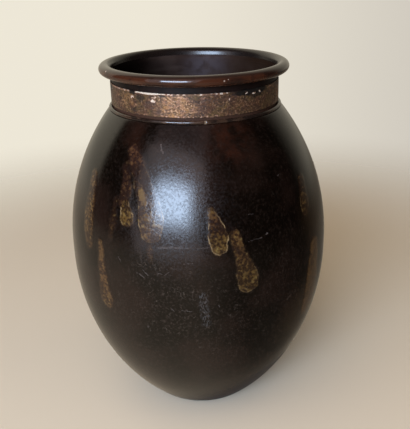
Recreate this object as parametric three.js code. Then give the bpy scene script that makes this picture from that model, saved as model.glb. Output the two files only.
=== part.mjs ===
// An ovoid bronze flower vase, built from turned and cast pieces that are brazed together:
// an egg-shaped body open at both ends, a straight neck socketed into its mouth, a rolled
// rim spigoted into the neck, a thin strip round the neck, a bead of wire over the neck's
// root, and a foot ring with a base plate that close the body from below.
//
// Millimetres, +Z up, origin on the resting plane under the centre of the foot.

import * as THREE from "three";

// Body. Its height follows from the radii at belly, foot and neck and from the two arcs.
const BELLY_R = 95; // outer radius at the widest
const BELLY_UPRIGHT = 7; // height of the upright stretch between the two arcs
const LOWER_ARC_R = 166; // radius of the outline under the belly
const UPPER_ARC_R = 158; // radius of the outline over the belly
const BODY_WALL = 2.8;
const TABLE_GAP = 1.5; // the body's lower edge hangs clear of the table by this much
const LOWER_EDGE = 4.7; // width of that edge, outside the foot ring
const SHOULDER_LEDGE = 3.14; // width of the body's flat top, outside the neck

// Neck
const NECK_R = 57.8; // outer radius
const NECK_HEIGHT = 23.5; // over the shoulder
const NECK_WALL = 3.2;
const NECK_SPIGOT_WALL = 1.9; // the neck's thinner end, which sits in the body
const NECK_SPIGOT_LENGTH = 3;
const MOUTH_FLANGE_HEIGHT = 5; // the body's inner ring, which carries the neck
const FLANGE_TAPER = 2; // the inner ring's slope back to the body's wall

// Rim
const LIP_OVERHANG = 8.2; // how far the roll stands out from the neck
const ROLL_HALF_WIDTH = 4.3;
const ROLL_HALF_HEIGHT = 3.65;
const ROLL_SPRING_TURN = -0.4; // where the roll's underside leaves the neck, in turns
const RIM_SPIGOT_WALL = 1.5;
const RIM_SPIGOT_LENGTH = 3.5;

// Trim round the neck
const BAND_THICKNESS = 0.8;
const BAND_RISE = 3.8; // bare neck under the band
const LIP_HOLLOW = 4.8; // bare neck between the band and the roll
const BEAD_WIRE_R = 1.35;
const BEAD_SINK = 0.45; // how much of the wire's underside is filed flat

// Foot
const FOOT_R = 38; // outer radius of the foot ring
const FOOT_RING_WIDTH = 4.5;
const FOOT_RING_HEIGHT = 5;
const FOOT_CHAMFER = 0.6;
const BASE_PLATE_THICKNESS = 3;

// Gap for brazing metal between pieces that fit inside one another
const BRAZE_GAP = 0.2;

// How finely the round shapes are cut
const AROUND = 64;
const OUTER_ARC_STEPS = 12;
const INNER_ARC_STEPS = 7;
const ROLL_STEPS = 20;
const BEAD_STEPS = 8;

const metal = (color, roughness) =>
  new THREE.MeshStandardMaterial({ color, roughness, metalness: 0.9 });
const darkBronze = metal(0x2c1b15, 0.28);
const rimBronze = metal(0x38221a, 0.25);
const wornCopper = metal(0x84604a, 0.6);
const footBronze = metal(0x30241f, 0.5);

const point = (r, z) => new THREE.Vector2(r, z);

// How far an arc of the outline runs up or down from the belly until it is in at a radius.
function arcRise(arcR, endR) {
  return Math.sqrt(arcR ** 2 - (endR - BELLY_R + arcR) ** 2);
}

// Heights of the body
const footBoreR = FOOT_R + BRAZE_GAP; // the body's hole for the foot ring and the plate
const bellyLowZ = TABLE_GAP + arcRise(LOWER_ARC_R, footBoreR + LOWER_EDGE);
const bellyHighZ = bellyLowZ + BELLY_UPRIGHT;
const shoulderZ = bellyHighZ + arcRise(UPPER_ARC_R, NECK_R + SHOULDER_LEDGE);

// The body's radius at a height. Inset moves the surface inwards, square to itself.
function bodyRadius(z, inset = 0) {
  const arc = (radius, rise) =>
    BELLY_R - radius + Math.sqrt((radius - inset) ** 2 - rise ** 2);
  if (z < bellyLowZ) return arc(LOWER_ARC_R, bellyLowZ - z);
  if (z > bellyHighZ) return arc(UPPER_ARC_R, z - bellyHighZ);
  return BELLY_R - inset;
}

// Points on the body's outline between two heights.
function bodyOutline(fromZ, toZ, steps, inset = 0) {
  const points = [];
  for (let i = 0; i <= steps; i++) {
    const z = fromZ + ((toZ - fromZ) * i) / steps;
    points.push(point(bodyRadius(z, inset), z));
  }
  return points;
}

// Points on an arc of an ellipse, with the angles in turns.
function arcPoints(centre, halfWidth, halfHeight, fromTurn, toTurn, steps) {
  const points = [];
  for (let i = 0; i <= steps; i++) {
    const angle = 2 * Math.PI * (fromTurn + ((toTurn - fromTurn) * i) / steps);
    points.push(
      point(centre.x + halfWidth * Math.cos(angle), centre.y + halfHeight * Math.sin(angle)),
    );
  }
  return points;
}

// A solid of revolution from a profile that runs anticlockwise, with the axis on its left.
// A profile that starts on the axis ends there too, and any other is closed on itself.
function turned(name, profile, material) {
  const loop = profile[0].x > 0 ? [...profile, profile[0].clone()] : profile;
  const geometry = new THREE.LatheGeometry(loop, AROUND);
  geometry.rotateX(Math.PI / 2);
  const mesh = new THREE.Mesh(geometry, material);
  mesh.name = name;
  return mesh;
}

// Places where pieces meet
const mouthBoreR = NECK_R - NECK_WALL; // one bore through flange, neck and rim
const neckSpigotR = mouthBoreR + NECK_SPIGOT_WALL;
const neckSeatZ = shoulderZ - NECK_SPIGOT_LENGTH;
const neckTopZ = shoulderZ + NECK_HEIGHT;
const rimSpigotR = mouthBoreR + RIM_SPIGOT_WALL;
const rimSeatZ = neckTopZ - RIM_SPIGOT_LENGTH;
const trimR = NECK_R + BRAZE_GAP; // inside of the pieces that go round the neck
const plateTopZ = FOOT_RING_HEIGHT + BASE_PLATE_THICKNESS;

function bodyShell() {
  const socketR = neckSpigotR + BRAZE_GAP;
  const flangeZ = neckSeatZ - MOUTH_FLANGE_HEIGHT;
  const profile = [
    point(footBoreR, TABLE_GAP),
    ...bodyOutline(TABLE_GAP, bellyLowZ, OUTER_ARC_STEPS),
    ...bodyOutline(bellyHighZ, shoulderZ, OUTER_ARC_STEPS),
    point(socketR, shoulderZ),
    point(socketR, neckSeatZ),
    point(mouthBoreR, neckSeatZ),
    point(mouthBoreR, flangeZ),
    ...bodyOutline(flangeZ - FLANGE_TAPER, bellyHighZ, INNER_ARC_STEPS, BODY_WALL),
    ...bodyOutline(bellyLowZ, plateTopZ, INNER_ARC_STEPS, BODY_WALL),
    point(footBoreR, plateTopZ),
  ];
  return turned("body_shell", profile, darkBronze);
}

// The neck stands on the body's top and on its flange, and holds the rim in its upper end.
function neckTube() {
  const rimSocketR = rimSpigotR + BRAZE_GAP;
  const profile = [
    point(mouthBoreR, neckSeatZ),
    point(neckSpigotR, neckSeatZ),
    point(neckSpigotR, shoulderZ),
    point(NECK_R, shoulderZ),
    point(NECK_R, neckTopZ),
    point(rimSocketR, neckTopZ),
    point(rimSocketR, rimSeatZ),
    point(mouthBoreR, rimSeatZ),
  ];
  return turned("neck_tube", profile, darkBronze);
}

// The roll is round to its innermost point, and from there a short cone leads to the bore.
function mouthRim() {
  const rollCentre = point(
    NECK_R + LIP_OVERHANG - ROLL_HALF_WIDTH,
    neckTopZ + ROLL_HALF_HEIGHT,
  );
  const roll = arcPoints(
    rollCentre, ROLL_HALF_WIDTH, ROLL_HALF_HEIGHT, ROLL_SPRING_TURN, 0.5, ROLL_STEPS,
  );
  const profile = [
    point(mouthBoreR, rimSeatZ),
    point(rimSpigotR, rimSeatZ),
    point(rimSpigotR, neckTopZ),
    point(NECK_R, neckTopZ),
    ...roll,
    point(mouthBoreR, neckTopZ),
  ];
  return turned("mouth_rim", profile, rimBronze);
}

function neckBand() {
  const outerR = trimR + BAND_THICKNESS;
  const lowZ = shoulderZ + BAND_RISE;
  const highZ = neckTopZ - LIP_HOLLOW;
  const profile = [
    point(trimR, lowZ),
    point(outerR, lowZ),
    point(outerR, highZ),
    point(trimR, highZ),
  ];
  return turned("neck_band", profile, wornCopper);
}

function shoulderBead() {
  const centre = point(trimR + BEAD_WIRE_R, shoulderZ + BEAD_WIRE_R - BEAD_SINK);
  const flatTurn = Math.asin((BEAD_WIRE_R - BEAD_SINK) / BEAD_WIRE_R) / (2 * Math.PI);
  const wire = arcPoints(
    centre, BEAD_WIRE_R, BEAD_WIRE_R, -flatTurn, 0.5 + flatTurn, BEAD_STEPS,
  );
  return turned("shoulder_bead", wire, rimBronze);
}

function footRing() {
  const innerR = FOOT_R - FOOT_RING_WIDTH;
  const profile = [
    point(innerR + FOOT_CHAMFER, 0),
    point(FOOT_R - FOOT_CHAMFER, 0),
    point(FOOT_R, FOOT_CHAMFER),
    point(FOOT_R, FOOT_RING_HEIGHT),
    point(innerR, FOOT_RING_HEIGHT),
    point(innerR, FOOT_CHAMFER),
  ];
  return turned("foot_ring", profile, footBronze);
}

function basePlate() {
  const profile = [
    point(0, FOOT_RING_HEIGHT),
    point(FOOT_R, FOOT_RING_HEIGHT),
    point(FOOT_R, plateTopZ),
    point(0, plateTopZ),
  ];
  return turned("base_plate", profile, footBronze);
}

const vase = new THREE.Group();
vase.add(
  bodyShell(),
  neckTube(),
  mouthRim(),
  neckBand(),
  shoulderBead(),
  footRing(),
  basePlate(),
);

export default vase;
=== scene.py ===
"""The looks of an ovoid bronze vase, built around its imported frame.

Metres, +Z up. The side that faces the viewer looks along -Y. Azimuths are in degrees round
the axis: 0 is the viewer's side, and they grow towards +X.
"""

import math
from functools import partialmethod

import bpy
import numpy as np
from mathutils import Matrix, Vector, noise


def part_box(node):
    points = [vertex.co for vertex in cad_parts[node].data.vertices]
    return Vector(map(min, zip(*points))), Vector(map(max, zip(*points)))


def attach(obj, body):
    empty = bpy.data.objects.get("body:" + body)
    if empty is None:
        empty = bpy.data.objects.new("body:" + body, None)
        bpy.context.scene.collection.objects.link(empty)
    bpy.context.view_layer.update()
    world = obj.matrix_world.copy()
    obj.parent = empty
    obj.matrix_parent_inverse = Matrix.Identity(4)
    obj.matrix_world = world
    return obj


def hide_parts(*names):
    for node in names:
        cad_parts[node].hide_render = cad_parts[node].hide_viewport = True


MM = 0.001

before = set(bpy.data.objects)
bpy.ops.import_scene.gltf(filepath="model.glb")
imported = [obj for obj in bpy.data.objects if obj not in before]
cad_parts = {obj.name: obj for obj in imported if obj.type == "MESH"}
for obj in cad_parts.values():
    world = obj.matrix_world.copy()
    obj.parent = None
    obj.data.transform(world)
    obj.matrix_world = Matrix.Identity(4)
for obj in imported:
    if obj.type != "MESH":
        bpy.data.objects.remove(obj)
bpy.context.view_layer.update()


# Sizes from the frame

body_low, body_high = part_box("body_shell")
band_low, band_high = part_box("neck_band")
bead_low, bead_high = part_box("shoulder_bead")
neck_high, rim_high, ring_high, plate_high = (
    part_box(name)[1] for name in ("neck_tube", "mouth_rim", "foot_ring", "base_plate")
)

BELLY_R = body_high.x
NECK_R = neck_high.x
BAND_R = band_high.x
LIP_R = rim_high.x
BEAD_R = bead_high.x
FOOT_R = ring_high.x

# Sizes that the boxes don't give, the same as in the solids
LOWER_ARC_R = 166 * MM
UPPER_ARC_R = 158 * MM
BELLY_UPRIGHT = 7 * MM
LOWER_EDGE = 4.7 * MM
BODY_WALL = 2.8 * MM
NECK_WALL = 3.2 * MM
NECK_SPIGOT_WALL = 1.9 * MM
NECK_SPIGOT_LENGTH = 3 * MM
FLANGE_HEIGHT = 5 * MM
FLANGE_TAPER = 2 * MM
RIM_SPIGOT_WALL = 1.5 * MM
RIM_SPIGOT_LENGTH = 3.5 * MM
ROLL_HALF_WIDTH = 4.3 * MM
ROLL_HALF_HEIGHT = 3.65 * MM
ROLL_SPRING_TURN = -0.4
BAND_THICKNESS = 0.8 * MM
FOOT_RING_WIDTH = 4.5 * MM
BRAZE_GAP = 0.2 * MM

# The lip's steep inner face, which is too fine for the solids
FACE_HEIGHT = 2.3 * MM
FACE_LEAN = 0.45 * MM

mouth_bore_r = NECK_R - NECK_WALL
foot_bore_r = FOOT_R + BRAZE_GAP
lower_edge_r = foot_bore_r + LOWER_EDGE
shoulder_z = body_high.z
neck_top_z = neck_high.z
neck_spigot_r = mouth_bore_r + NECK_SPIGOT_WALL
neck_seat_z = shoulder_z - NECK_SPIGOT_LENGTH
rim_spigot_r = mouth_bore_r + RIM_SPIGOT_WALL
rim_seat_z = neck_top_z - RIM_SPIGOT_LENGTH
belly_low_z = body_low.z + math.sqrt(LOWER_ARC_R**2 - (lower_edge_r - BELLY_R + LOWER_ARC_R) ** 2)
belly_high_z = belly_low_z + BELLY_UPRIGHT


def body_radius(z, inset=0.0):
    """The body's radius at the heights z, moved inwards by inset, square to the surface."""
    fall = np.minimum(z - belly_low_z, 0)
    rise = np.maximum(z - belly_high_z, 0)
    low = BELLY_R - LOWER_ARC_R + np.sqrt((LOWER_ARC_R - inset) ** 2 - fall**2)
    high = BELLY_R - UPPER_ARC_R + np.sqrt((UPPER_ARC_R - inset) ** 2 - rise**2)
    return np.where(z < belly_low_z, low, np.where(z > belly_high_z, high, BELLY_R - inset))


def round_axis(azimuth, radius, height):
    """The place at an azimuth in degrees, a radius and a height, or many such places."""
    turn = np.radians(azimuth)
    place = np.broadcast_arrays(radius * np.sin(turn), -radius * np.cos(turn), height)
    return np.stack(place, -1)


def add_object(name, data):
    obj = bpy.data.objects.new(name, data)
    bpy.context.scene.collection.objects.link(obj)
    return obj


# Camera


def add_camera():
    """The photograph's viewpoint: above the vase, which stands left of the middle."""
    image_width_px, image_height_px = 410, 429
    focal_px = 646.95
    centre_shift_px = 20
    back, up = 0.457, 0.32883
    right_turn, down_tilt, lean = (math.radians(angle) for angle in (2.49, 22.32, 0.829))
    long_side_px = max(image_width_px, image_height_px)
    data = bpy.data.cameras.new("camera")
    data.sensor_width = 36
    data.lens = focal_px * data.sensor_width / long_side_px
    data.shift_x = -centre_shift_px / long_side_px
    data.clip_start = 0.01
    camera = add_object("camera", data)
    camera.matrix_world = (
        Matrix.Translation((0, -back, up))
        @ Matrix.Rotation(-right_turn, 4, "Z")
        @ Matrix.Rotation(math.pi / 2 - down_tilt, 4, "X")
        @ Matrix.Rotation(-lean, 4, "Z")
    )
    bpy.context.scene.camera = camera


# Meshes

SHARP_TURN = math.radians(33)


class Turned:
    """A closed profile turned round the axis, as a grid of points to be shaped further.

    The profile runs anticlockwise, seen with the axis on its left, and closes on itself.
    """

    def __init__(self, profile, columns):
        self.rows = len(profile)
        self.columns = columns
        radius, height = np.array(profile, float).T
        self.azimuth = np.arange(columns) * 360 / columns - 180
        across, along = np.gradient(radius), np.gradient(height)
        length = np.hypot(across, along)
        self.radius = np.repeat(radius[:, None], columns, 1)
        self.height = np.repeat(height[:, None], columns, 1)
        self.out_r = (along / length)[:, None]
        self.out_z = (-across / length)[:, None]

    def push(self, distance):
        """Moves the points outwards, square to the surface."""
        self.radius += self.out_r * distance
        self.height += self.out_z * distance

    def points(self):
        return round_axis(self.azimuth, self.radius, self.height).reshape(-1, 3)

    def faces(self):
        corner = np.arange(self.rows * self.columns).reshape(self.rows, self.columns)
        beside = np.roll(corner, -1, 1)
        corners = [corner, beside, np.roll(beside, -1, 0), np.roll(corner, -1, 0)]
        return np.stack(corners, -1).reshape(-1, 4)

    def build(self, name, material, inside_material=None, inside_row=0):
        """A mesh object, smooth but for the sharp turns of its profile. Faces from inside_row on
        have the inside material."""
        mesh = bpy.data.meshes.new(name)
        mesh.from_pydata(self.points().tolist(), [], self.faces().tolist())
        mesh.polygons.foreach_set("use_smooth", np.ones(len(mesh.polygons), bool))
        mesh.set_sharp_from_angle(angle=SHARP_TURN)
        mesh.materials.append(material)
        if inside_material:
            mesh.materials.append(inside_material)
            row_of_face = np.arange(len(mesh.polygons)) // self.columns
            inside = (row_of_face >= inside_row).astype(np.int32)
            mesh.polygons.foreach_set("material_index", inside)
        mesh.update()
        return add_object(name, mesh)


def add_layers(obj, **layers):
    """Values at the mesh's points, which its material reads by their names."""
    for name, values in layers.items():
        layer = obj.data.attributes.new(name, "FLOAT", "POINT")
        layer.data.foreach_set("value", np.ravel(values).astype(np.float32))


def noise_at(points, size, seed=0):
    """Smooth noise from -1 to 1, with lumps of the given size, at each point."""
    shift = Vector((seed, -seed, 2 * seed))
    return np.array([noise.noise(Vector(p) / size + shift) for p in points])


def arc_points(centre, half_width, half_height, start, end, steps):
    """Points on an arc of an ellipse, with the angles in turns."""
    angle = 2 * math.pi * np.linspace(start, end, steps + 1)
    radius = centre[0] + half_width * np.cos(angle)
    height = centre[1] + half_height * np.sin(angle)
    return list(zip(radius, height))


def rounded(before, corner, after, size, steps=4):
    """A profile's corner, rounded off over the given size."""
    before, corner, after = (np.array(p, float) for p in (before, corner, after))
    start = corner + size * (before - corner) / np.linalg.norm(before - corner)
    end = corner + size * (after - corner) / np.linalg.norm(after - corner)
    share = np.linspace(0, 1, steps + 1)[:, None]
    points = (1 - share) ** 2 * start + 2 * share * (1 - share) * corner + share**2 * end
    return [tuple(p) for p in points]


def upright(radius, start, end, count):
    """Points up or down a straight wall."""
    return [(radius, z) for z in np.linspace(start, end, count)]


def body_outline(start, end, steps, inset=0.0):
    """Points on the body's outline between two heights."""
    heights = np.linspace(start, end, steps + 1)
    return list(zip(body_radius(heights, inset), heights))


def smooth(low, high, value):
    """0 where value is at low or beyond, 1 at high or beyond, and smooth between."""
    share = np.clip((value - low) / (high - low), 0, 1)
    return share * share * (3 - 2 * share)


# Patina drips, which hang with the wide end down. Each is a row of stations down its middle:
# azimuth in degrees, height and half width in millimetres, and three shares: how golden it is
# (0 is rust), how much of it is bright rather than dark, and how clear its outline is.

DRIPS = {
    "front_tear": [
        (4.7, 180, 1.6, 0.7, 0.9, 0.1),
        (5.4, 176, 2.8, 0.4, 0.7, 0.4),
        (6.2, 172.5, 4.2, 0.2, 0.4, 0.8),
        (7, 167.5, 5.7, 0.3, 0.3, 1),
        (7.3, 162, 6.5, 0.8, 0.6, 1),
        (7.4, 157.5, 5.8, 0.8, 0.7, 0.7),
    ],
    "front_club": [
        (14.1, 163.6, 3.2, 0.5, 0.65, 0.1),
        (14.7, 157.5, 4, 0.5, 0.6, 0.1),
        (15.6, 151.5, 3.9, 0.4, 0.45, 0),
        (17.2, 144.5, 5.2, 0.6, 0.5, 0.1),
        (18.3, 136, 7.6, 0.8, 0.5, 0.2),
        (18.7, 130, 7.2, 0.8, 0.5, 0.3),
    ],
    "left_long": [
        (-34.9, 212.5, 3.2, 0, 0.6, 0),
        (-31, 206.7, 5.4, 0, 0.55, 0),
        (-29, 202.2, 5.7, 0, 0.3, 0.1),
        (-26.3, 196.2, 6.2, 0.1, 0.1, 0.2),
        (-24, 189.7, 6.2, 0.1, 0.15, 0.5),
        (-22.2, 184.2, 7, 0.3, 0.3, 0.6),
        (-20.5, 177.7, 8.2, 0.6, 0.5, 0.8),
        (-19.8, 171.1, 8.8, 0.6, 0.55, 1),
        (-19.4, 166.2, 7.6, 0.5, 0.6, 0.5),
    ],
    "left_long_streak": [
        (-26, 190.7, 0.7, 0.9, 1, 0.2),
        (-24.5, 186.2, 1.7, 0.9, 0.8, 0.2),
        (-23.4, 183.2, 1.3, 0.7, 1, 0.1),
    ],
    "left_tail": [(-19.6, 155, 2.2, 0.3, 0.25, 0), (-20, 146.5, 1.4, 0.3, 0.3, 0)],
    "left_pear": [
        (-36.5, 202.2, 2.9, 0, 0.2, 0),
        (-34.2, 196.2, 3.4, 0, 0.3, 0),
        (-33, 189.7, 4.2, 0.1, 0.35, 0),
        (-33.2, 181, 4.4, 0.2, 0.3, 0),
    ],
    "left_pear_head": [
        (-32, 179.4, 2.4, 0.9, 0.5, 0.9),
        (-31.5, 175.4, 4.8, 0.9, 0.7, 1),
        (-31, 172.2, 5.5, 0.9, 0.8, 0.5),
    ],
    "left_faint": [
        (-38, 181.7, 1.8, 0.3, 0.15, 0),
        (-37.8, 171.2, 2.6, 0.4, 0.2, 0),
        (-38.6, 158.5, 2.2, 0.4, 0.2, 0),
    ],
    "left_thread": [
        (-44.6, 151.5, 2.4, 0.4, 0.75, 0),
        (-44, 143, 3.1, 0.4, 0.8, 0),
        (-43.7, 132.1, 3.9, 0.3, 0.8, 0),
        (-43.2, 121, 5, 0.3, 0.7, 0),
        (-42.6, 110, 6.4, 0.4, 0.65, 0.1),
    ],
    "left_side": [
        (-57, 192, 3.4, 0.4, 0.65, 0),
        (-54.6, 181.2, 4.6, 0.3, 0.45, 0),
        (-54.4, 168, 6, 0.5, 0.65, 0),
        (-53.6, 156, 5.8, 0.5, 0.6, 0),
        (-52.6, 147.5, 4.2, 0.4, 0.45, 0),
    ],
    "right_side": [
        (55.2, 185.5, 3.8, 0.3, 0.35, 0),
        (54, 179, 4.2, 0.4, 0.35, 0),
        (53.2, 172, 5, 0.7, 0.45, 0.2),
        (52.6, 167, 5.2, 0.8, 0.5, 0.2),
    ],
    "right_low": [
        (57, 138, 5.8, 0.5, 1, 0),
        (57, 128, 7.8, 0.5, 1, 0),
        (56.5, 116, 9, 0.5, 1, 0),
        (56.5, 103, 9.6, 0.4, 0.9, 0),
        (56, 91, 9, 0.4, 0.8, 0),
    ],
    "right_back_tear": [
        (92, 196, 2, 0.4, 0.8, 0.1),
        (93, 186, 4, 0.3, 0.3, 0.7),
        (94.5, 176, 6.6, 0.8, 0.6, 1),
    ],
    "right_back_club": [
        (104, 180, 3, 0.3, 0.8, 0),
        (103, 166, 4, 0.5, 0.8, 0.1),
        (102, 152, 6, 0.9, 0.7, 0.1),
        (102, 144, 7.6, 1, 0.7, 0.2),
    ],
    "right_back_thread": [
        (121, 160, 2.4, 0.4, 0.6, 0),
        (120, 142, 3.2, 0.6, 0.7, 0),
        (120.5, 124, 4.6, 0.7, 0.6, 0.1),
    ],
    "back_long": [
        (150, 212, 3.4, 0, 0.8, 0),
        (154, 198, 5.2, 0.1, 0.3, 0.1),
        (157, 184, 6.8, 0.2, 0.2, 0.6),
        (158, 172, 8.2, 0.5, 0.6, 0.9),
    ],
    "back_pear": [
        (171, 192, 2.6, 0, 0.3, 0),
        (170, 176, 4, 0.4, 0.4, 0.1),
        (169.5, 163, 5.6, 0.9, 0.8, 0.6),
    ],
    "back_low": [
        (186, 138, 3.6, 0.4, 0.5, 0),
        (185, 118, 5.2, 0.6, 0.5, 0),
        (185, 104, 6, 0.6, 0.4, 0),
    ],
    "back_left_tear": [
        (207, 200, 1.8, 0.6, 0.8, 0.1),
        (208.5, 190, 4, 0.2, 0.4, 0.8),
        (209, 178, 6.8, 0.8, 0.6, 1),
    ],
    "back_left_club": [
        (226, 172, 3, 0.5, 0.9, 0),
        (224.5, 158, 4.2, 0.5, 0.8, 0),
        (223, 144, 6.6, 1, 0.7, 0.1),
        (223, 136, 7.8, 1, 0.7, 0.2),
    ],
    "left_back_side": [
        (252, 190, 3.6, 0.3, 0.4, 0),
        (251, 172, 4.6, 0.5, 0.5, 0.1),
        (250.5, 156, 5.6, 0.6, 0.5, 0),
    ],
    "left_back_thread": [
        (276, 150, 2.8, 0.6, 0.7, 0),
        (277, 132, 3.6, 0.6, 0.7, 0),
        (277.5, 114, 5, 0.7, 0.6, 0.1),
    ],
}


def on_body(azimuth, height_mm):
    """The place on the body's surface at an azimuth and a height."""
    height = np.asarray(height_mm) * MM
    return round_axis(azimuth, body_radius(height), height)


def drip_layers(points):
    """Each point's distance in mm from the nearest drip's edge, below zero inside it, and the
    drips' three shares: golden, bright and outlined."""
    far_mm = 1000.0
    blend_mm = 1.5  # a drip's shares take over within this distance of its edge
    distance = np.full(len(points), far_mm)
    shares = np.zeros((3, len(points)))
    for stations in DRIPS.values():
        azimuth, height, half_width, *wanted = np.array(stations, float).T
        places = on_body(azimuth, height)
        nearest = np.full(len(points), far_mm)
        own_shares = np.zeros((3, len(points)))
        for i in range(len(stations) - 1):
            along = places[i + 1] - places[i]
            reach = np.clip((points - places[i]) @ along / (along @ along), 0, 1)
            gap = np.linalg.norm(points - places[i] - reach[:, None] * along, axis=1) / MM
            gap = gap - np.interp(reach, (0, 1), half_width[i : i + 2])
            closer = gap < nearest
            nearest = np.where(closer, gap, nearest)
            for own, share in zip(own_shares, wanted):
                own[closer] = np.interp(reach[closer], (0, 1), share[i : i + 2])
        shares += (own_shares - shares) * smooth(blend_mm, 0, nearest)
        distance = np.minimum(distance, nearest)
    return distance, *shares


# Pieces


def build_body():
    """The shell, slightly uneven, with the drips a little proud of its skin."""
    outline_steps, inner_steps, columns = 170, 20, 480
    lower_round, upper_round = 0.8 * MM, 0.5 * MM
    uneven_size, uneven_depth, drip_height = 34 * MM, 0.12 * MM, 0.1 * MM
    drip_slope_mm = 0.7  # half the width of the slope at a drip's edge
    flange_z = neck_seat_z - FLANGE_HEIGHT
    socket_r = neck_spigot_r + BRAZE_GAP
    outline = body_outline(body_low.z + lower_round, shoulder_z - upper_round, outline_steps)
    inner_bottom = (foot_bore_r, body_low.z)
    inner_top = (socket_r, shoulder_z)
    shoulder_r = float(body_radius(shoulder_z))
    profile = [
        (foot_bore_r, plate_high.z),
        inner_bottom,
        *rounded(inner_bottom, (lower_edge_r, body_low.z), outline[0], lower_round),
        *outline[1:-1],
        *rounded(outline[-1], (shoulder_r, shoulder_z), inner_top, upper_round),
        inner_top,
        (socket_r, neck_seat_z),
        (mouth_bore_r, neck_seat_z),
    ]
    inside_row = len(profile) - 1
    profile += [
        (mouth_bore_r, flange_z),
        *body_outline(flange_z - FLANGE_TAPER, plate_high.z, inner_steps, BODY_WALL),
    ]
    turned = Turned(profile, columns)
    points = turned.points()
    shape = turned.radius.shape
    on_outside = np.zeros(shape)
    on_outside[2 : inside_row - 2] = 1  # but for the ends
    distance, gold, bright, outlined = drip_layers(points)
    uneven = 0.5 + 0.5 * noise_at(points, uneven_size).reshape(shape)
    lower_skin = smooth(-drip_slope_mm, drip_slope_mm, distance).reshape(shape)
    turned.push(-(uneven_depth * uneven + drip_height * lower_skin) * on_outside)
    body = turned.build("vase_body", body_material(), inside_material(), inside_row)
    add_layers(body, drip=distance, gold=gold, bright=bright, outlined=outlined)
    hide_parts("body_shell")
    return body


def build_neck():
    """The straight neck, which stands in the body and holds the rim in its top."""
    outer_points, inner_points, columns = 40, 20, 256
    rim_socket_r = rim_spigot_r + BRAZE_GAP
    profile = [
        (mouth_bore_r, neck_seat_z),
        (neck_spigot_r, neck_seat_z),
        (neck_spigot_r, shoulder_z),
        *upright(NECK_R, shoulder_z, neck_top_z, outer_points),
        (rim_socket_r, neck_top_z),
        (rim_socket_r, rim_seat_z),
    ]
    inside_row = len(profile)
    profile += upright(mouth_bore_r, rim_seat_z, neck_seat_z, inner_points)[:-1]
    turned = Turned(profile, columns)
    neck = turned.build("vase_neck", neck_material(), inside_material(), inside_row)
    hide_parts("neck_tube")
    return neck


# Dents in the lip: azimuth in degrees, height and radius in millimetres
LIP_DENTS = [
    (15.8, 254.6, 0.8),
    (18.2, 255.4, 0.6),
    (-62, 256.5, 0.9),
    (97, 255, 0.8),
    (141, 256.8, 1),
    (-128, 254.8, 0.8),
    (-171, 256, 0.7),
]


def build_rim():
    """The lip: a roll with small dents, and inside it a steep face that leads to the bore."""
    roll_steps, round_steps, columns = 72, 6, 640
    roll_end_turn = 0.475  # just short of the roll's innermost point
    face_round, bore_round, short_of_seat = 0.5 * MM, 1.1 * MM, 0.5 * MM
    uneven_size, uneven_mm = 22 * MM, 0.1
    dent_share = 0.3  # a dent's depth, as a share of its radius
    centre = (LIP_R - ROLL_HALF_WIDTH, neck_top_z + ROLL_HALF_HEIGHT)
    roll = arc_points(
        centre, ROLL_HALF_WIDTH, ROLL_HALF_HEIGHT, ROLL_SPRING_TURN, roll_end_turn, roll_steps
    )
    face_low = (roll[-1][0] - FACE_LEAN, roll[-1][1] - FACE_HEIGHT)
    bore_top = (mouth_bore_r + FACE_LEAN, neck_top_z)
    bore_low = (mouth_bore_r, rim_seat_z + short_of_seat)
    profile = [
        (mouth_bore_r, rim_seat_z),
        (rim_spigot_r, rim_seat_z),
        (rim_spigot_r, neck_top_z),
        (NECK_R, neck_top_z),
        *roll,
    ]
    inside_row = len(profile)
    profile += rounded(roll[-1], face_low, bore_top, face_round, round_steps)
    profile += rounded(face_low, bore_top, bore_low, bore_round, round_steps)
    profile.append(bore_low)
    turned = Turned(profile, columns)
    points = turned.points()
    dent = np.zeros(len(points))
    for azimuth, height, radius in LIP_DENTS:
        level = (height * MM - centre[1]) / ROLL_HALF_HEIGHT
        reach = centre[0] + ROLL_HALF_WIDTH * math.sqrt(1 - min(level**2, 1))
        gap = np.linalg.norm(points - round_axis(azimuth, reach, height * MM), axis=1)
        dent = np.maximum(dent, smooth(radius * MM, 0, gap) * dent_share * radius)
    uneven = 0.5 + 0.5 * noise_at(points, uneven_size)
    on_roll = np.zeros(turned.radius.shape)
    on_roll[10:70] = 1  # the roll but for its two ends
    turned.push(-on_roll * (dent + uneven_mm * uneven).reshape(on_roll.shape) * MM)
    rim = turned.build("vase_lip", lip_material(), inside_material(), inside_row)
    add_layers(rim, dent=dent)
    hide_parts("mouth_rim")
    return rim


# The band's skin. Patches: azimuth in degrees, height over the band's lower edge in
# millimetres, half width in degrees, half height in millimetres, strength.
BRIGHT_COPPER = [
    (-12, 7, 13, 8, 1),
    (-50, 8, 9, 7, 0.3),
    (82, 6, 15, 6, 0.7),
    (128, 8, 10, 7, 0.8),
    (168, 7, 14, 7, 0.9),
    (222, 7, 12, 8, 0.9),
    (262, 5, 10, 6, 0.7),
]
BLACK_CRUST = [
    (38, 13.6, 15, 2.6, 1),
    (42, 11.6, 6, 2.2, 0.8),
    (-43.5, 14.2, 2.8, 1.6, 1),
    (-36.5, 11, 3.2, 2.2, 0.7),
    (-21, 13.4, 2.2, 1.2, 0.8),
    (-42, 3, 3, 1.6, 0.6),
    (27, 14, 3, 1.4, 0.8),
    (104, 12, 7, 2.6, 0.9),
    (150, 13, 5, 1.8, 0.9),
    (196, 12.5, 8, 2.4, 0.9),
    (243, 13.5, 5, 1.6, 0.8),
    (285, 12, 6, 2.4, 0.9),
]
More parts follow.
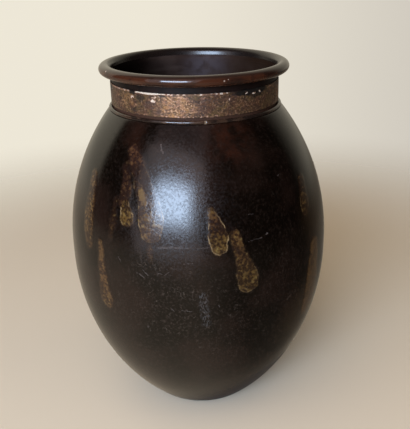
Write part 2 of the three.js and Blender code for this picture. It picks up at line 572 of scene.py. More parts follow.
PALE_FLECKS = [
    (-43.6, 10.9, 1.6, 1.6, 0.75),
    (-40.6, 7, 0.9, 2.4, 0.5),
    (-26.8, 10.8, 2.4, 2, 0.8),
    (-24, 12.8, 1.8, 1, 0.75),
    (-7, 12.6, 4.5, 0.9, 0.42),
    (4.5, 12.2, 1.2, 1.3, 0.4),
    (33.8, 13.2, 2, 0.6, 1),
    (40, 12.3, 1.6, 0.5, 0.8),
    (45, 12.8, 0.9, 0.8, 0.9),
    (21.5, 10.6, 1.2, 0.8, 0.7),
    (57, 14, 2, 0.8, 0.5),
    (110, 12.4, 2, 0.7, 0.8),
    (156, 11.6, 1.8, 1.2, 0.7),
    (200, 12.8, 2.2, 0.6, 0.9),
    (290, 11.8, 1.6, 0.8, 0.8),
]
# Wear of the band's edges, with a painted highlight along the upper one: azimuth in degrees, how
# strongly the upper edge shines, as wear and painted highlight, how much of that has flaked away,
# and how strongly the lower edge shines
EDGE_WEAR_AND_HIGHLIGHT = [
    (-180, 0.6, 1, 0.5),
    (-120, 0.5, 0.8, 0.3),
    (-75, 0.3, 0.5, 0.2),
    (-56, 0.7, 0.4, 0.2),
    (-47, 0.7, 0.4, 0.2),
    (-45, 0, 1, 0.2),
    (-42, 0, 1, 0.2),
    (-40, 1, 0, 0.25),
    (-24, 1, 0.1, 0.45),
    (-19, 0.7, 0.6, 0.6),
    (-6, 0.7, 0.7, 0.65),
    (0, 0.8, 0.6, 0.65),
    (20, 0.8, 0.5, 0.5),
    (24, 0, 1, 0.4),
    (60, 0.1, 1, 0.1),
    (110, 0.6, 0.9, 0.4),
    (180, 0.6, 1, 0.5),
]
SWIRL_LINES = 5  # level lines over the whole range of the slow noise


def patches(azimuth, height, places, inner=0.75):
    """How strongly the patches cover each point, from 0 to 1. Inner is the share of a patch's
    size over which it is at its full strength."""
    cover = np.zeros(azimuth.shape)
    for at, level, half_width, half_height, strength in places:
        turn = (azimuth - at + 180) % 360 - 180
        gap = np.hypot(turn / half_width, (height - level) / half_height)
        cover = np.maximum(cover, strength * smooth(1.9 - inner, inner, gap))
    return cover


def band_layers(turned):
    """How strongly each feature of the band's skin shows at its points, by name."""
    points = turned.points()

    def lumps(size, seed, moved=0):
        return noise_at(points + moved, size, seed).reshape(turned.radius.shape)

    warp = 1.5 * MM * np.stack([noise_at(points, 3.4 * MM, seed) for seed in (3, 5, 7)], -1)
    fine = lumps(1.8 * MM, 11, warp)
    coarse = lumps(6 * MM, 13)
    swirl = SWIRL_LINES * lumps(7.5 * MM, 19, 0.4 * warp) + 0.35 * fine
    tracks = smooth(0.35, 0.85, 0.5 + 0.5 * np.sin(2 * math.pi * swirl))
    azimuth = np.repeat(turned.azimuth[None, :], turned.rows, 0)
    height = (turned.height - band_low.z) / MM
    from_top = (band_high.z - band_low.z) / MM - height
    ragged = (azimuth + 1.3 * coarse, height + 0.9 * fine)
    flecks = patches(*ragged, PALE_FLECKS) * smooth(-0.25, 0.05, fine)
    wear_at, upper_highlight_and_wear, upper_flaking, lower_shine = np.array(EDGE_WEAR_AND_HIGHLIGHT, float).T
    flaked = smooth(0.2, -0.05, lumps(2.3 * MM, 23))
    # The upper edge's pale line is partly worn metal, partly a painted highlight.
    upper = smooth(1.25, 0.6, from_top + 0.5 * coarse)
    upper *= np.interp(azimuth, wear_at, upper_highlight_and_wear)
    upper *= 1 - flaked * np.interp(azimuth, wear_at, upper_flaking)
    lower = smooth(1.9, 0.8, height + 0.6 * coarse)
    lower *= np.interp(azimuth, wear_at, lower_shine)
    lower *= smooth(-0.1, 0.35, lumps(1.3 * MM, 17))
    return {
        "groove": tracks * smooth(-0.7, 0.1, coarse),
        "bright": patches(*ragged, BRIGHT_COPPER, 0.35),
        "black": patches(*ragged, BLACK_CRUST),
        "pale": np.maximum.reduce([upper, lower, flecks]),
    }


def build_band():
    """The strip round the neck, with worm tracks and sunk patches of black crust."""
    face_points, round_steps, columns = 50, 3, 1300
    track_depth, crust_depth = 0.1 * MM, 0.18 * MM
    edge = 0.3 * MM
    inner_r = BAND_R - BAND_THICKNESS
    low_in, high_in = (inner_r, band_low.z), (inner_r, band_high.z)
    low_out, high_out = (BAND_R, band_low.z), (BAND_R, band_high.z)
    profile = [
        low_in,
        *rounded(low_in, low_out, high_out, edge, round_steps),
        *upright(BAND_R, band_low.z + edge, band_high.z - edge, face_points)[1:-1],
        *rounded(low_out, high_out, high_in, edge, round_steps),
        high_in,
    ]
    turned = Turned(profile, columns)
    layers = band_layers(turned)
    on_face = np.ones(turned.radius.shape)
    on_face[0] = on_face[-1] = 0
    turned.push(-(track_depth * layers["groove"] + crust_depth * layers["black"]) * on_face)
    band = turned.build("vase_neck_band", band_material())
    add_layers(band, **layers)
    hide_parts("neck_band")
    return band


def build_bead():
    """The wire round the neck's root, with a notch where its two ends meet."""
    wire_steps, columns = 24, 900
    joint_azimuth, joint_half_width, joint_depth = 5.6, 1.1, 0.3 * MM
    wire_r = (BEAD_R - NECK_R - BRAZE_GAP) / 2
    centre = (BEAD_R - wire_r, bead_high.z - wire_r)
    flat_turn = math.asin((centre[1] - bead_low.z) / wire_r) / (2 * math.pi)
    wire = arc_points(centre, wire_r, wire_r, -flat_turn, 0.5 + flat_turn, wire_steps)
    turned = Turned(wire, columns)
    joint = smooth(joint_half_width, 0, np.abs(turned.azimuth - joint_azimuth))
    joint = np.repeat(joint[None, :], turned.rows, 0)
    on_top = np.ones(joint.shape)
    on_top[0] = on_top[-1] = 0
    turned.push(-joint_depth * joint * on_top)
    bead = turned.build("vase_shoulder_bead", bead_material())
    add_layers(bead, joint=joint)
    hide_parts("shoulder_bead")
    return bead


def build_foot():
    """The ring that the vase rests on."""
    round_steps, columns = 6, 256
    inner_r = FOOT_R - FOOT_RING_WIDTH
    edge = 0.6 * MM
    profile = [
        *arc_points((inner_r + edge, edge), edge, edge, 0.5, 0.75, round_steps),
        *arc_points((FOOT_R - edge, edge), edge, edge, 0.75, 1, round_steps),
        (FOOT_R, ring_high.z),
        (inner_r, ring_high.z),
    ]
    foot = Turned(profile, columns).build("vase_foot_ring", foot_material())
    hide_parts("foot_ring")
    return foot


# Materials


class Graph:
    """Short ways to lay out shader nodes. Most calls return the socket that they make. Below,
    m is a material's graph, and w the world's."""

    def __init__(self, tree, place="Object"):
        self.tree = tree
        self.place = self.node("ShaderNodeTexCoord").outputs[place]

    def node(self, kind, **settings):
        made = self.tree.nodes.new(kind)
        for key, value in settings.items():
            setattr(made, key, value)
        return made

    def feed(self, socket, value):
        if isinstance(value, bpy.types.NodeSocket):
            self.tree.links.new(value, socket)
        elif isinstance(value, tuple):
            socket.default_value = (*value, 1.0) if len(socket.default_value) == 4 else value
        else:
            socket.default_value = value

    def noise(self, size, detail=2, stretch=None, warp=0, output="Fac"):
        """Noise whose lumps are about size metres, longer along the axes that stretch names."""
        made = self.node("ShaderNodeTexNoise")
        place = self.place
        if stretch:
            place = self.vector("DIVIDE", place, stretch)
        self.feed(made.inputs["Vector"], place)
        made.inputs["Scale"].default_value = 1 / size
        made.inputs["Detail"].default_value = detail
        made.inputs["Distortion"].default_value = warp
        return made.outputs[output]

    def axes(self):
        """The place's three coordinates."""
        made = self.node("ShaderNodeSeparateXYZ")
        self.feed(made.inputs[0], self.place)
        return made.outputs

    def layer(self, name):
        return self.node("ShaderNodeAttribute", attribute_name=name).outputs["Fac"]

    def vector(self, operation, a, b=None, output=0):
        made = self.node("ShaderNodeVectorMath", operation=operation)
        self.feed(made.inputs[0], a)
        if b is not None:
            self.feed(made.inputs["Scale" if operation == "SCALE" else 1], b)
        return made.outputs[output]

    def math(self, operation, a, b=0, clamp=False):
        made = self.node("ShaderNodeMath", operation=operation, use_clamp=clamp)
        self.feed(made.inputs[0], a)
        self.feed(made.inputs[1], b)
        return made.outputs[0]

    def fold(self, operation, first, *others):
        """All the values put together, two at a time."""
        for other in others:
            first = self.math(operation, first, other)
        return first

    product = partialmethod(fold, "MULTIPLY")
    total = partialmethod(fold, "ADD")
    most = partialmethod(fold, "MAXIMUM")

    def swing(self, value, width):
        """A value around a half, turned into one around zero, times width."""
        return self.product(self.math("SUBTRACT", value, 0.5), width)

    def fade(self, value, low, high, to_low=0, to_high=1):
        """Value turned smoothly from to_low, at low, to to_high, at high."""
        made = self.node("ShaderNodeMapRange", interpolation_type="SMOOTHSTEP")
        self.feed(made.inputs["Value"], value)
        made.inputs["From Min"].default_value = low
        made.inputs["From Max"].default_value = high
        made.inputs["To Min"].default_value = to_low
        made.inputs["To Max"].default_value = to_high
        return made.outputs["Result"]

    def mix(self, share, first, second):
        """A colour that goes from first to second as share goes from 0 to 1."""
        made = self.node("ShaderNodeMix", data_type="RGBA")
        self.feed(made.inputs[0], share)
        self.feed(made.inputs[6], first)
        self.feed(made.inputs[7], second)
        return made.outputs[2]

    def near(self, centre, radius):
        """1 at the centre, fading to 0 at the radius."""
        gap = self.vector("DISTANCE", self.place, tuple(centre), output=1)
        return self.fade(gap, radius, 0.2 * radius)

    def streak(self, place, start, end, half_width):
        """1 along the line from start to end, fading to 0 at half_width from it."""
        along = Vector(end) - Vector(start)
        offset = self.vector("SUBTRACT", place, tuple(start))
        reach = self.vector("DOT_PRODUCT", offset, tuple(along / along.length_squared), output=1)
        reach = self.math("MULTIPLY", reach, 1, clamp=True)
        nearest = self.vector("SCALE", tuple(along), reach)
        gap = self.vector("DISTANCE", offset, nearest, output=1)
        return self.fade(gap, half_width, 0.4 * half_width)

    def bump(self, height, depth, before=None):
        """A normal from a height that goes from 0 to 1, over a depth in metres."""
        made = self.node("ShaderNodeBump")
        made.inputs["Distance"].default_value = depth
        self.feed(made.inputs["Height"], height)
        if before is not None:
            self.feed(made.inputs["Normal"], before)
        return made.outputs["Normal"]


class Material(Graph):
    """A material laid out in the object's own coordinates, around a Principled shader."""

    def __init__(self, name):
        self.material = bpy.data.materials.new(name)
        self.material.use_nodes = True
        super().__init__(self.material.node_tree)
        self.shader = self.tree.nodes["Principled BSDF"]

    def finish(self, **inputs):
        """Feeds the shader's sockets, named with underscores, and gives the material."""
        for name, value in inputs.items():
            self.feed(self.shader.inputs[name.replace("_", " ")], value)
        return self.material


def base_material():
    """Dull dark bronze, as cast."""
    m = Material("base bronze")
    blotch = m.fade(m.noise(12 * MM, 3), 0.4, 0.65)
    grain = m.noise(0.9 * MM, 3)
    return m.finish(
        Base_Color=m.mix(blotch, (0.03, 0.018, 0.012), (0.0135, 0.0081, 0.0054)),
        Roughness=m.fade(grain, 0.3, 0.7, 0.425, 0.625),
        Normal=m.bump(grain, 0.01 * MM),
    )


def inside_material():
    """The dull, water-stained inside, with a bluish painted sheen at the back of the neck and
    painted shade under the lip and at its sides. All pieces share it, so no joint shows."""
    name = "vase inside"
    if name in bpy.data.materials:
        return bpy.data.materials[name]
    m = Material(name)
    axes = m.axes()
    stain = m.fade(m.noise(16 * MM, 4), 0.35, 0.65)
    paint = m.mix(stain, (0.022, 0.014, 0.012), (0.038, 0.026, 0.022))
    tide = m.fade(m.noise(5 * MM, 3, stretch=(6, 6, 1)), 0.5, 0.72)
    paint = m.mix(m.product(tide, 0.5), paint, (0.055, 0.04, 0.034))
    # A bluish painted sheen on the back wall, where the window's light falls on it.
    painted_sheen = m.near((0.18 * mouth_bore_r, 0.98 * mouth_bore_r, neck_top_z - 10 * MM), 25 * MM)
    painted_sheen = m.product(painted_sheen, m.fade(m.noise(6 * MM, 3), 0.35, 0.6, 0.3, 0.75))
    paint = m.mix(painted_sheen, paint, (0.058, 0.049, 0.055))
    # Painted shade under the lip, fading out at the back.
    painted_shade_under_lip = m.fade(axes["Z"], neck_top_z - 5 * MM, neck_top_z + 1 * MM, 0, 0.75)
    at_back = m.fade(axes["Y"], 0.6 * mouth_bore_r, 0.98 * mouth_bore_r)
    painted_shade_under_lip = m.product(painted_shade_under_lip, m.fade(at_back, 0, 1, 1, 0.1))
    paint = m.mix(painted_shade_under_lip, paint, (0.004, 0.0026, 0.0022))
    # Painted shade on the inside's right side and, near black, on its left.
    right, left = (0.9, 0.85, (0.016, 0.0085, 0.005)), (-0.9, 1.0, (0.0008, 0.0006, 0.0005))
    for across, strength, colour in (right, left):
        shaded = m.near((across * mouth_bore_r, 0.4 * mouth_bore_r, shoulder_z), 62 * MM)
        paint = m.mix(m.product(shaded, strength), paint, colour)
    return m.finish(
        Base_Color=paint,
        Roughness=m.fade(stain, 0, 1, 0.45, 0.55),
        Specular_IOR_Level=0.0,
        Normal=m.bump(m.noise(2.2 * MM, 3), 0.05 * MM),
    )


def lip_material():
    """Polished chestnut with dents, darker inside as painted shade, and with a pale painted
    reflection along the top in front.
    """
    m = Material("chestnut lip")
    axes = m.axes()
    from_axis = m.vector("LENGTH", m.vector("MULTIPLY", m.place, (1.0, 1.0, 0.0)), output=1)
    inner = m.fade(from_axis, LIP_R - 1.1 * ROLL_HALF_WIDTH, LIP_R - 1.6 * ROLL_HALF_WIDTH)
    top = m.fade(from_axis, LIP_R - 0.75 * ROLL_HALF_WIDTH, LIP_R - 1.05 * ROLL_HALF_WIDTH)
    in_front = m.fade(axes["Y"], -0.05 * LIP_R, -0.5 * LIP_R)
    blotch = m.fade(m.noise(14 * MM, 4), 0.38, 0.62)
    paint = m.mix(blotch, (0.042, 0.0135, 0.0065), (0.017, 0.007, 0.0045))
    rub = m.fade(m.noise(7 * MM, 3, stretch=(3, 3, 0.5)), 0.5, 0.75)
    paint = m.mix(m.product(rub, 0.5), paint, (0.085, 0.036, 0.018))
    crown = m.fade(axes["Z"], neck_top_z + 4.5 * MM, neck_top_z + 6.5 * MM)
    # The crown is painted darker. The inner side is painted darker still, near black: painted
    # shade inside the mouth.
    paint = m.mix(m.product(m.most(crown, inner), 0.8), paint, (0.018, 0.0105, 0.0075))
    paint = m.mix(m.product(inner, 0.85), paint, (0.006, 0.004, 0.0034))
    # A pale painted reflection along the top of the lip in front.
    paint = m.mix(m.product(top, in_front, 0.9), paint, (0.08, 0.064, 0.055))
    paint = m.mix(m.fade(m.layer("dent"), 0.02, 0.12), paint, (0.3, 0.22, 0.17))
    grain = m.noise(1 * MM, 3)
    rough = m.fade(grain, 0.3, 0.7, 0.025, 0.055)
    rough = m.total(rough, m.product(blotch, 0.025), m.product(inner, 0.22))
    return m.finish(Base_Color=paint, Roughness=rough, Normal=m.bump(grain, 0.003 * MM))


def neck_material():
    """Dark in the hollow under the lip, and browner under the band."""
    m = Material("neck bronze")
    blotch = m.fade(m.noise(9 * MM, 3), 0.4, 0.62)
    paint = m.mix(blotch, (0.011, 0.0055, 0.0042), (0.006, 0.0034, 0.0027))
    under_band = m.fade(m.axes()["Z"], band_high.z, band_low.z)
    paint = m.mix(under_band, paint, (0.05, 0.024, 0.015))
    grain = m.noise(1 * MM, 3)
    return m.finish(
        Base_Color=paint,
        Roughness=m.fade(grain, 0.3, 0.7, 0.4, 0.5),
        Specular_IOR_Level=0.12,
        Normal=m.bump(grain, 0.02 * MM),
    )


def bead_material():
    """Brown, worn in places, brighter at the joint and rubbed smooth in front."""
    m = Material("bead bronze")
    blotch = m.fade(m.noise(9 * MM, 3), 0.4, 0.6)
    paint = m.mix(blotch, (0.034, 0.018, 0.011), (0.013, 0.0075, 0.0055))
    worn = m.fade(m.noise(3 * MM, 3, stretch=(3, 3, 0.6)), 0.56, 0.7)
    paint = m.mix(m.product(worn, 0.6), paint, (0.08, 0.045, 0.028))
    paint = m.mix(m.fade(m.layer("joint"), 0.2, 0.7, 0, 0.8), paint, (0.2, 0.14, 0.09))
    grain = m.noise(0.8 * MM, 2)
    rubbed_smooth = m.near((-0.07 * BEAD_R, -BEAD_R, bead_high.z), 18 * MM)
    rough = m.fade(grain, 0.3, 0.7, 0.1, 0.14)
    rough = m.math("SUBTRACT", rough, m.product(rubbed_smooth, 0.065))
    return m.finish(Base_Color=paint, Roughness=rough, Normal=m.bump(grain, 0.006 * MM))


def foot_material():
    """As cast, and rubbed bright where it rests."""
    m = Material("foot bronze")
    blotch = m.fade(m.noise(6 * MM, 4), 0.4, 0.65)
    paint = m.mix(blotch, (0.034, 0.02, 0.013), (0.013, 0.009, 0.007))
    scratch = m.fade(m.noise(3 * MM, 3), 0.35, 0.6)
    rubbed = m.product(m.fade(m.axes()["Z"], 0.35 * MM, 0), scratch)
    paint = m.mix(m.product(rubbed, 0.8), paint, (0.3, 0.17, 0.09))
    return m.finish(
        Base_Color=paint,
        Roughness=m.fade(rubbed, 0, 1, 0.5, 0.34),
        Metallic=m.product(rubbed, 0.8),
        Normal=m.bump(m.noise(0.8 * MM, 4), 0.05 * MM),
    )


# Scratches and specks on the body: azimuth and height of one end, the same of the other, half
# width, and strength, in degrees and millimetres
SCRATCHES = [
    (-16.5, 156.6, -8, 157.2, 0.75, 0.35),
    (-8, 157.2, 3.5, 156.6, 0.6, 0.25),
    (-19, 216, -17.2, 211.6, 0.7, 0.55),
    (-25.5, 137.6, -22.4, 135.4, 0.5, 0.5),
    (-23, 140.5, -20.8, 137, 0.45, 0.6),
    (-16.6, 139.6, -14, 138.4, 0.45, 0.6),
    (-14, 138.4, -12.2, 141, 0.4, 0.5),
    (-6.4, 146.6, -3.2, 147.1, 0.4, 0.55),
    (-34.2, 145.6, -32.6, 142, 0.45, 0.4),
    (-7.8, 113.6, -4, 112.6, 0.5, 0.6),
    (-11.9, 114, -11, 112.6, 0.6, 0.5),
    (19.6, 157.8, 25.4, 158.8, 0.35, 0.35),
    (20.4, 174.6, 23.6, 174.2, 0.35, 0.3),
    (27.6, 159.8, 28.1, 160.6, 0.6, 0.7),
    (39.4, 192.8, 39.8, 193.6, 0.5, 0.6),
    (1.9, 122, 1.4, 118.5, 0.6, 0.25),
    (-0.6, 118, 0.6, 115, 0.6, 0.3),
    (1, 112, 2, 108.5, 0.7, 0.35),
    (-22.9, 97.9, -22.6, 97.2, 0.6, 0.5),
    (6.6, 116.4, 7, 115.8, 0.6, 0.5),
    (72, 150, 78, 151.5, 0.4, 0.4),
    (112, 132, 113.5, 122, 0.5, 0.4),
    (140, 166, 146, 165, 0.4, 0.4),
    (178, 140, 181, 131, 0.5, 0.4),
    (214, 120, 219, 122, 0.45, 0.4),
    (262, 128, 265, 121, 0.5, 0.4),
]


def body_ground(m):
    """Dark brown, flushed red at the shoulder and warmer on the right, with fine stipple."""
    blotch = m.fade(m.noise(45 * MM, 4), 0.4, 0.64)
    ground = m.mix(blotch, (0.0022, 0.0011, 0.0006), (0.0095, 0.0045, 0.003))
    flush = m.most(
        m.near(on_body(18, 217), 23 * MM),
        m.near(on_body(150, 212), 34 * MM),
        m.product(m.near(on_body(-34, 218), 18 * MM), 0.35),
    )
    flush = m.product(flush, m.fade(m.noise(11 * MM, 3), 0.38, 0.62), 0.55)
    ground = m.mix(flush, ground, (0.03, 0.0085, 0.0042))
    warm = m.most(m.near(on_body(56, 86), 42 * MM), m.near(on_body(66, 160), 36 * MM))
    ground = m.mix(m.product(warm, 0.8), ground, (0.024, 0.013, 0.005))
    stipple = m.product(m.fade(m.noise(2.2 * MM, 3), 0.5, 0.7), 0.4)
    return m.mix(stipple, ground, (0.013, 0.0075, 0.0055))


def paint_drips(m, ground):
    """The ground with the drips on it, how far they cover it, and where they are light."""
    gold, bright, outlined = (m.layer(name) for name in ("gold", "bright", "outlined"))
    wobble = m.swing(m.noise(2.8 * MM, 3), 2.4)
    sway = m.swing(m.noise(9 * MM, 2), m.fade(outlined, 0, 1, 4, 2))
    edge = m.total(m.layer("drip"), wobble, sway)

    def line(at, half_width):
        return m.fade(m.math("ABSOLUTE", m.math("SUBTRACT", edge, at)), half_width, 0.1)

    crisp = m.product(m.fade(edge, 0.3, -0.6), outlined)
    soft = m.product(m.fade(edge, 1.3, -1.8), m.math("SUBTRACT", 1.0, outlined))
    cover = m.product(m.total(crisp, soft), m.fade(bright, 0, 0.8, 0.35, 0.95))
    fine, medium = m.noise(1.9 * MM, 3), m.noise(5 * MM, 3)
    mottle = m.total(m.product(fine, 0.65), m.product(medium, 0.35), m.swing(bright, 0.17))
    light = m.fade(mottle, 0.45, 0.6)
    rust = m.mix(m.noise(5 * MM, 2), (0.048, 0.018, 0.008), (0.078, 0.036, 0.016))
    golden = m.mix(m.noise(3 * MM, 2), (0.075, 0.039, 0.009), (0.105, 0.063, 0.019))
    shade = m.mix(gold, (0.02, 0.0085, 0.006), (0.024, 0.0125, 0.005))
    drip = m.mix(light, shade, m.mix(gold, rust, golden))
    glint = m.product(m.fade(fine, 0.6, 0.72), light, m.fade(gold, 0, 0.8, 0.15, 0.5))
    drip = m.mix(glint, drip, (0.2, 0.145, 0.05))
    paint = m.mix(cover, ground, drip)
    paint = m.mix(m.product(line(-1.4, 0.6), outlined, 0.6), paint, (0.014, 0.007, 0.004))
    broken = m.fade(m.noise(5 * MM, 3), 0.4, 0.6, 0.05, 0.75)
    paint = m.mix(m.product(line(-0.4, 0.55), outlined, broken), paint, (0.22, 0.15, 0.075))
    return paint, cover, light


def paint_scratches(m, paint):
    """The paint with the listed scratches, shaken a little out of line."""
    shake = m.vector("SUBTRACT", m.noise(2 * MM, output="Color"), (0.5, 0.5, 0.5))
    place = m.vector("ADD", m.place, m.vector("SCALE", shake, 2.2 * MM))
    marks = []
    for *ends, half_width, strength in SCRATCHES:
        start, end = on_body(*ends[:2]), on_body(*ends[2:])
        marks.append(m.product(m.streak(place, start, end, half_width * MM), strength))
    broken = m.fade(m.noise(1.5 * MM, 1), 0.35, 0.6, 0.4, 0.9)
    return m.mix(m.product(m.most(*marks), broken), paint, (0.12, 0.098, 0.088))


def paint_specks(m, paint):
    """The paint with specks and hairlines, mostly in front and low, and with a scuff."""
    front = m.most(m.near(on_body(-9, 110), 52 * MM), m.near(on_body(-20, 138), 24 * MM))
    low = m.fade(m.axes()["Z"], 170 * MM, 110 * MM, 0.12, 0.5)
    low = m.product(low, m.fade(m.noise(30 * MM, 2), 0.3, 0.6, 0.5, 1))
    field = m.most(m.product(front, 0.75), low)
    speck = m.product(m.fade(m.noise(1.6 * MM, 3), 0.5, 0.75), field, 0.6)
    paint = m.mix(speck, paint, (0.05, 0.034, 0.026))
    scuff = m.streak(m.place, on_body(0.6, 123.5), on_body(1.6, 103.5), 4.2 * MM)
    scratchy = m.fade(m.noise(1.3 * MM, 2, stretch=(0.7, 0.7, 1.5)), 0.45, 0.65)
    paint = m.mix(m.product(scuff, scratchy, 0.42), paint, (0.075, 0.073, 0.072))
    crease = m.math("ABSOLUTE", m.math("SUBTRACT", m.noise(7 * MM, 1, warp=1.2), 0.5))
    hair = m.product(m.fade(crease, 0.02, 0.005), m.fade(m.noise(4 * MM, 2), 0.5, 0.66), field)
    return m.mix(m.product(hair, 0.55), paint, (0.09, 0.068, 0.052))


def body_material():
    """Dark, waxed bronze with rust and gold drips, specks and fine scratches."""
    m = Material("dark bronze with drips")
    paint, drip_cover, drip_light = paint_drips(m, body_ground(m))
    paint = paint_specks(m, paint_scratches(m, paint))
    worn = m.near(on_body(-11, 176), 78 * MM)
    grain = m.product(m.noise(1.2 * MM, 3), m.fade(worn, 0, 1, 0.4, 1.0))
    normal = m.bump(grain, 0.05 * MM)
    normal = m.bump(m.product(drip_light, drip_cover), 0.025 * MM, normal)
    flecked = m.noise(1.4 * MM, 2)
    rough = m.fade(flecked, 0.35, 0.65, 0.1, 0.18)
    rough = m.total(rough, m.product(worn, m.fade(flecked, 0.35, 0.65, 0.05, 0.12)))
    rough = m.product(rough, m.fade(drip_cover, 0, 0.8, 1.0, 0.8))
    return m.finish(Base_Color=paint, Roughness=rough, Normal=normal)


def band_material():
    """Rough, worn copper skin, black crust and pale, rubbed edges, with a painted highlight along
    the upper edge.
    """
    m = Material("worn copper")
    groove, bright, black, pale = (m.layer(name) for name in ("groove", "bright", "black", "pale"))
    patch = m.fade(m.noise(8 * MM, 3), 0.4, 0.6)
    brown = m.mix(patch, (0.088, 0.039, 0.021), (0.1, 0.056, 0.021))
    patch = m.fade(m.noise(4 * MM, 3), 0.42, 0.6)
    copper = m.mix(patch, (0.27, 0.13, 0.042), (0.27, 0.13, 0.064))
    share = m.fade(m.total(bright, m.swing(m.noise(5 * MM, 4), 2)), 0.05, 1)
    paint = m.mix(share, brown, copper)
    paint = m.mix(m.product(groove, 0.5), paint, (0.05, 0.024, 0.014))
    hatch = m.fade(m.noise(1.1 * MM, 2, stretch=(2.2, 2.2, 0.8)), 0.46, 0.62)
    paint = m.mix(m.product(hatch, 0.62), paint, (0.026, 0.0145, 0.009))
    spark = m.fade(m.noise(1.3 * MM, 2), 0.54, 0.66)
    spark = m.product(spark, m.fade(bright, 0, 0.9, 0.3, 0.85))
    paint = m.mix(spark, paint, (0.42, 0.235, 0.12))
    paint = m.mix(m.product(black, 0.93), paint, (0.008, 0.0065, 0.0055))
    # The pale edges: rubbed metal, and on the upper edge also a painted highlight.
    rubbed = m.mix(m.fade(pale, 0.45, 0.9), (0.4, 0.2, 0.12), (0.7, 0.57, 0.44))
    paint = m.mix(m.fade(pale, 0.1, 0.8, 0, 0.95), paint, rubbed)
    return m.finish(
        Base_Color=paint,
        Roughness=m.fade(groove, 0, 1, 0.42, 0.6),
        Metallic=0.3,
        Normal=m.bump(m.noise(0.6 * MM, 2), 0.03 * MM),
    )


# Surroundings


# Lights that face the vase: name, azimuth and elevation in degrees, distance, width and height,
# radiance, with 1 as white, colour, and whether gloss shows it
AREA_LIGHTS = [
    ("window", -23.5, 18.5, 1.6, (0.82, 0.54), 18, (0.56, 0.74, 1.0), True),
    ("window edges", -22, 17.5, 1.65, (1.04, 0.82), 4.3, (0.62, 0.76, 1.0), True),
    ("window surround", -27, 18, 1.7, (2.0, 1.9), 1.05, (1.0, 0.86, 0.86), True),
    ("over the window", -24, 54, 1.7, (1.5, 1.3), 0.34, (1.0, 0.7, 0.7), True),
    ("ceiling", -40, 58, 1.6, (1.6, 1.6), 1.85, (1.0, 0.91, 0.8), False),
    ("right side", 75, 45, 1.6, (1.6, 1.4), 0.6, (1.0, 0.8, 0.58), False),
]
LIGHTS_CENTRE = Vector((0, 0, 0.15))


def add_light(name, kind, energy, in_gloss):
    """A light that the camera doesn't see."""
    data = bpy.data.lights.new(name, kind)
    data.energy = energy
    light = add_object(name, data)
    light.visible_camera = False
    light.visible_glossy = in_gloss
    return light


def add_area_light(name, azimuth, elevation, distance, size, radiance, colour, in_gloss):
    """A rectangular light that faces the vase."""
    rise = math.radians(elevation)
    direction = Vector(round_axis(azimuth, math.cos(rise), math.sin(rise)))
    width, height = size
    light = add_light(name, "AREA", radiance * width * height * math.pi, in_gloss)
    light.data.shape = "RECTANGLE"
    light.data.size, light.data.size_y = size
    light.data.color = colour
    light.location = LIGHTS_CENTRE + distance * direction
    light.rotation_mode = "QUATERNION"
    light.rotation_quaternion = direction.to_track_quat("Z", "Y")


def add_light_under_foot():
    """A narrow light through the floor, which shows the foot's recess to a view from below."""
    distance = 0.4
    light = add_light("under the foot", "SPOT", 16, False)
    light.data.spot_size = 2 * math.atan(FOOT_R / distance)
    light.data.spot_blend = 0.1
    light.data.shadow_soft_size = 0.03
    light.location = (0, 0, -distance)
    light.rotation_euler = (math.pi, 0, 0)


def add_floor():
    """A pale floor that fades into the backdrop away from the vase. Gloss sees only a patch of it
    by the foot, on the shadow's side, painted dark there as a painted shadow. A view from below
    looks through it, and so does the light under the foot."""
    floor_r = 1.4
    gap = 0.1 * MM  # keeps it apart from the foot's underside
    painted_shadow_at, painted_shadow_inner_r, painted_shadow_outer_r = (0.02, 0.006, 0), 0.048, 0.072
    fade_inner_r, fade_outer_r = 0.3, 0.8
    bpy.ops.mesh.primitive_circle_add(
        vertices=96, radius=floor_r, fill_type="NGON", location=(0, 0, -gap)
    )
    floor = bpy.context.object
    floor.name = "floor"
    m = Material("pale floor, seen from above only")
    rays = m.node("ShaderNodeLightPath").outputs
    to_gloss, to_light = rays["Is Glossy Ray"], rays["Is Shadow Ray"]
    # Gloss sees the floor in a dark colour: a painted shadow by the foot.
    m.finish(Base_Color=m.mix(to_gloss, (0.69, 0.585, 0.44), (0.17, 0.135, 0.1)), Roughness=0.7)
    from_middle = m.vector("LENGTH", m.place, output=1)
    from_painted_shadow = m.vector("DISTANCE", m.place, painted_shadow_at, output=1)
    under_foot = m.math("LESS_THAN", from_middle, 0.97 * FOOT_R)
    clear_share = m.most(
        m.fade(from_middle, fade_inner_r, fade_outer_r),
        m.product(m.fade(from_painted_shadow, painted_shadow_inner_r, painted_shadow_outer_r), to_gloss),
        m.product(under_foot, to_light),
        m.node("ShaderNodeNewGeometry").outputs["Backfacing"],
    )
    blend = m.node("ShaderNodeMixShader")
    m.feed(blend.inputs[0], clear_share)
    m.feed(blend.inputs[1], m.shader.outputs[0])
    m.feed(blend.inputs[2], m.node("ShaderNodeBsdfTransparent").outputs[0])
    m.feed(m.tree.nodes["Material Output"].inputs[0], blend.outputs[0])
    floor.data.materials.append(m.material)


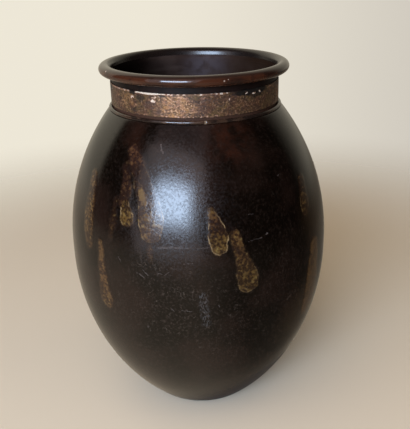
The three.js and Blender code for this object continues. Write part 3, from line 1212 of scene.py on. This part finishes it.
def add_world():
    """A pale backdrop to the eye. Gloss sees a dim room, pale behind the vase and below it, and
    darker on its right. Light from behind is weaker on what isn't gloss."""
    world = bpy.data.worlds.new("room")
    bpy.context.scene.world = world
    world.use_nodes = True
    world.node_tree.nodes.clear()
    w = Graph(world.node_tree, "Generated")
    right, back, up = w.axes()
    rays = w.node("ShaderNodeLightPath").outputs
    on_right = w.fade(right, -0.2, 0.2)
    behind_left = w.product(w.fade(back, 0.27, 0.41), w.fade(up, 0, 0.4, 0.56, 0.84))
    behind_right = w.product(w.fade(back, 0.2, 0.8), w.fade(up, -0.35, 0.05, 0.14, 0.5))
    step = w.math("SUBTRACT", behind_right, behind_left)
    behind = w.total(behind_left, w.product(on_right, step))
    for_gloss = w.fade(rays["Is Glossy Ray"], 0, 1, 0.35, 1.0)
    behind = w.product(behind, w.fade(up, 0.97, 0.85), for_gloss)
    above = w.vector("SCALE", (1.0, 0.91, 0.72), w.total(behind, 0.01))
    below = w.product(w.fade(right, 0.55, -0.15, 0.1, 0.41), w.fade(right, 0.6, 0.95, 1.0, 0.3))
    below = w.total(below, w.product(w.fade(back, 0.2, 0.7, 0, 0.05), on_right))
    below = w.vector("SCALE", (1.0, 0.84, 0.64), below)
    room = w.node("ShaderNodeBackground")
    w.feed(room.inputs["Color"], w.mix(w.fade(up, -0.05, -0.28), above, below))
    backdrop = w.node("ShaderNodeBackground")
    shaded = w.fade(right, -0.1, 0.5)
    w.feed(backdrop.inputs["Color"], w.mix(shaded, (0.85, 0.8, 0.68), (0.58, 0.54, 0.48)))
    seen = w.node("ShaderNodeMixShader")
    w.feed(seen.inputs[0], rays["Is Camera Ray"])
    w.feed(seen.inputs[1], room.outputs[0])
    w.feed(seen.inputs[2], backdrop.outputs[0])
    w.feed(w.node("ShaderNodeOutputWorld").inputs[0], seen.outputs[0])


add_camera()
for piece in [build_body(), build_neck(), build_rim(), build_band(), build_bead(), build_foot()]:
    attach(piece, "root")
base_bronze = base_material()
for material_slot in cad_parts["base_plate"].material_slots:
    material_slot.material = base_bronze
add_floor()
add_light_under_foot()
add_world()
for light in AREA_LIGHTS:
    add_area_light(*light)
bpy.context.scene.view_settings.view_transform = "Standard"
